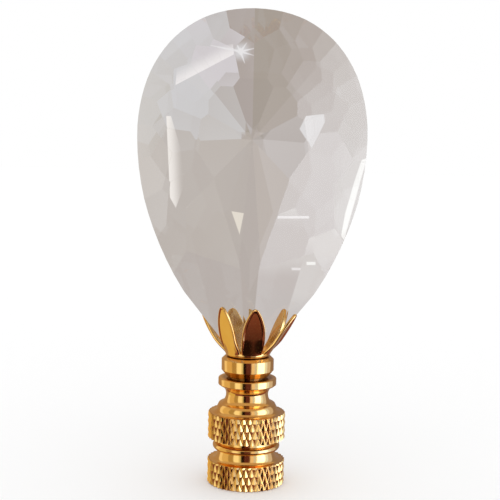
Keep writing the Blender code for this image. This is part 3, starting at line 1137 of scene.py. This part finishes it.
@dataclass
class Studio:
    """A plain pale floor, soft light and the camera."""

    distance: float = 180 * MM
    camera_height: float = 57 * MM
    aim_height: float = 38.4 * MM
    lean: float = 1.17
    lens: float = 80.4
    sensor: float = 36.0
    floor_size: float = 3.0
    floor_colour: Colour = (0.94, 0.94, 0.94)
    backdrop: Colour = (1.0, 1.0, 1.0)
    fill: Colour = (1.07, 1.07, 1.07)
    strips: Stops = (
        (-180, (0.46, 0.30, 0.17)),
        (-122, (0.98, 0.80, 0.50)),
        (-104, (0.76, 0.55, 0.26)),
        (-72, (0.47, 0.33, 0.14)),
        (-49, (1.10, 1.00, 0.72)),
        (-27, (0.70, 0.62, 0.36)),
        (-19, (0.012, 0.004, 0.003)),
        (-6, (0.12, 0.035, 0.03)),
        (17, (0.95, 0.78, 0.60)),
        (31, (0.70, 0.76, 0.88)),
        (45, (2.80, 2.80, 2.95)),
        (80, (0.85, 1.00, 1.25)),
        (96, (0.66, 0.60, 0.62)),
        (120, (0.31, 0.22, 0.18)),
    )
    gloss_panels: tuple[Panel, ...] = (
        Panel((-180, 180), (-95, -30), (0.24, 0.075, 0.06), 2.5),
        Panel((-126, -74), (-40, -17), (0.74, 0.55, 0.20), 2.0),
        Panel((-30, 70), (-95, -38.4), (0.015, 0.006, 0.005), 0.6),
        Panel((-180, 180), (34, 95), (0.60, 0.42, 0.24), 8.0),
        Panel((-180, 180), (68, 95), (0.36, 0.20, 0.09), 6.0),
    )
    ahead: Stops = (
        (0, (0.44, 0.40, 0.375)),
        (22, (0.58, 0.55, 0.54)),
        (50, (0.65, 0.63, 0.62)),
        (98, (0.34, 0.31, 0.28)),
    )
    behind_low: Stops = (
        (126, (0.52, 0.49, 0.46)),
        (138, (0.62, 0.60, 0.58)),
        (156, (0.64, 0.635, 0.655)),
        (166, (0.61, 0.60, 0.61)),
        (177, (0.43, 0.38, 0.36)),
        (183, (0.385, 0.34, 0.30)),
        (197, (0.46, 0.41, 0.385)),
        (223, (0.64, 0.61, 0.59)),
        (234, (0.55, 0.52, 0.50)),
    )
    behind_level: Stops = (
        (126, (0.52, 0.49, 0.46)),
        (138, (0.65, 0.62, 0.60)),
        (153, (0.53, 0.49, 0.465)),
        (165, (0.50, 0.455, 0.43)),
        (185, (0.50, 0.45, 0.42)),
        (204, (0.62, 0.58, 0.57)),
        (221, (0.68, 0.655, 0.64)),
        (234, (0.55, 0.52, 0.50)),
    )
    glass_panels: tuple[Panel, ...] = (
        Panel((196, 232), (9.4, 36), (0.71, 0.68, 0.665), 0.7),
        Panel((159, 175), (-27, -16), (0.66, 0.63, 0.66), 2.5),
        Panel((177.15, 177.95), (-22.95, -22.1), (0.68, 0.67, 0.69), 0.3),
        Panel((0, 360), (42, 95), (0.22, 0.13, 0.07), 8.0),
    )
    glints: tuple[Glint, ...] = (
        Glint((0.92, 0.88, 0.85), SLIVER_OUTLINE, fade=15.0),
        Glint((0.74, 0.72, 0.72), KITE_OUTLINE),
        Glint((0.80, 0.74, 0.66), TRIANGLE_OUTLINE),
        Glint((0.85, 0.82, 0.82), BAR_OUTLINE),
        Glint((1.00, 1.00, 0.98), RIM_OUTLINE),
        Glint((1.00, 1.00, 0.98), SPARKLE_OUTLINE),
        Glint((0.88, 0.85, 0.86), WEDGE_OUTLINE, fade=16.0),
        *star((0.84, 0.83, 0.85), core=3.7, ray_width=2.6),
    )

    def floor(self) -> None:
        """The floor, lit by the fill light and left out of the object's reflections."""
        half = self.floor_size / 2
        corners = np.array([[-half, -half, 0], [half, -half, 0], [half, half, 0], [-half, half, 0]])
        obj = new_object("studio_floor", corners, np.array([[0, 1, 2, 3]]))
        made = bpy.data.materials.new("pale_floor")
        nodes = NodeTree(made)
        shader = nodes.raw("ShaderNodeBsdfDiffuse", {}, (*self.floor_colour, 1.0))
        nodes.finish("ShaderNodeOutputMaterial", shader)
        obj.data.materials.append(made)
        obj.visible_glossy = False
        obj.visible_transmission = False

    def strip_stops(self) -> list[tuple[float, Colour]]:
        """The strips as ramp stops, each strip even but for a short blend into the next.

        Returns:
            Pairs of (azimuth + 180) / 360 and colour.
        """
        blend = 2.0
        stops = []
        for index, (begin, colour) in enumerate(self.strips):
            finish = self.strips[index + 1][0] if index + 1 < len(self.strips) else 180 + blend
            stops += [((begin + blend + 180) / 360, colour), ((finish - blend + 180) / 360, colour)]
        return stops

    def view(self) -> Matrix:
        """The camera's place, rolled so that the object leans as it does in the picture.

        Returns:
            The camera's matrix.
        """
        place = Vector((0, -self.distance, self.camera_height))
        forward = (Vector((0, 0, self.aim_height)) - place).normalized()
        right = forward.cross(Vector((0, 0, 1))).normalized()
        up = right.cross(forward)
        roll = math.radians(self.lean)
        right, up = right * math.cos(roll) + up * math.sin(roll), up * math.cos(roll) - right * math.sin(roll)
        return Matrix.Translation(place) @ Matrix((right, up, -forward)).transposed().to_4x4()

    def world(self, sight: Sight) -> None:
        """The light round the object: a plain backdrop, an even fill, and panels for gloss and glass.

        Args:
            sight: The lines of sight through the crystal, to place the glints by.
        """
        world = bpy.data.worlds.new("studio")
        world.cycles.sampling_method = "NONE"
        bpy.context.scene.world = world
        nodes = NodeTree(world)
        direction = nodes.node("ShaderNodeTexCoord", {}, out="Generated")
        x, y, z = nodes.split(direction)
        degree = math.pi / 180
        turned_by = nodes.node("ShaderNodeMath", {"operation": "ARCTAN2"}, x, y * -1.0) / degree
        rear = nodes.node("ShaderNodeMath", {"operation": "ARCTAN2"}, x * -1.0, y) / degree + 180.0
        level = nodes.node("ShaderNodeMath", {"operation": "ARCSINE"}, z) / degree

        def lit(colour: Wire, azimuth: Wire, panels: tuple[Panel, ...]) -> Wire:
            """Lays panels over a colour in turn, each a window of azimuth times one of elevation."""
            for panel in panels:
                across = azimuth.window(*panel.azimuth, panel.soft)
                upward = level.window(*panel.elevation, panel.soft)
                colour = nodes.mix(across * upward, colour, panel.colour)
            return colour

        def behind(stops: Stops) -> Wire:
            """A colour that runs smoothly round: through the stops behind, alike on both sides ahead."""
            after = [(360 - azimuth, colour) for azimuth, colour in reversed(self.ahead)]
            whole = [*self.ahead, *stops, *after]
            return nodes.ramp(rear / 360.0, [(azimuth / 360, colour) for azimuth, colour in whole])

        path = nodes.raw("ShaderNodeLightPath", {})
        around = nodes.ramp((turned_by + 180.0) / 360.0, self.strip_stops())
        gloss = lit(around, turned_by, self.gloss_panels)
        glass = nodes.mix(level.step(-8.0, 3.0), behind(self.behind_low), behind(self.behind_level))
        glass = lit(glass, rear, self.glass_panels)
        place = nodes.join(rear, level, 1.0)
        for glint in self.glints:
            glass = glint.lay(nodes, place, glass, sight)
        seen = nodes.mix(Wire(nodes, path.outputs["Is Transmission Ray"]), gloss, glass)
        seen = nodes.mix(Wire(nodes, path.outputs["Is Diffuse Ray"]), seen, self.fill)
        seen = nodes.mix(Wire(nodes, path.outputs["Is Camera Ray"]), seen, self.backdrop)
        background = nodes.raw("ShaderNodeBackground", {}, seen)
        nodes.finish("ShaderNodeOutputWorld", background)

    def camera(self) -> None:
        """The camera at the picture's viewing angle."""
        data = bpy.data.cameras.new("view")
        data.lens = self.lens
        data.sensor_width = self.sensor
        data.clip_start = 1 * MM
        data.clip_end = 20.0
        obj = bpy.data.objects.new("view", data)
        obj.matrix_world = self.view()
        bpy.context.scene.collection.objects.link(obj)
        bpy.context.scene.camera = obj

    def build(self, crystal: bpy.types.Object, index: float) -> None:
        """Sets the floor, the light and the camera.

        Args:
            crystal: The crystal piece, which the glints are seen through.
            index: The crystal's index of refraction.
        """
        focal = self.lens / self.sensor * PICTURE_SIZE
        self.floor()
        self.world(Sight(self.view(), focal, crystal, index))
        self.camera()
        scene = bpy.context.scene
        scene.view_settings.view_transform = "Standard"
        scene.cycles.max_bounces = 32
        scene.cycles.glossy_bounces = 24
        scene.cycles.transmission_bounces = 24


def write_sizes() -> None:
    """Updates the view layer."""
    bpy.context.view_layer.update()


def main() -> None:
    """Builds the pieces from the crystal down, then the studio."""
    logging.basicConfig(level=logging.INFO, format="%(name)s: %(message)s")
    drop = Drop()
    near = drop.surface_points()
    clear = CrystalFinish()
    crystal = drop.build(clear)
    PetalCup().build(near, BrassFinish(Work.STAMPED))
    Collar().build(BrassFinish(Work.TURNED))
    Base().build(BrassFinish(Work.KNURLED))
    Studio().build(crystal, clear.index)
    write_sizes()


if __name__ == "__main__":
    main()
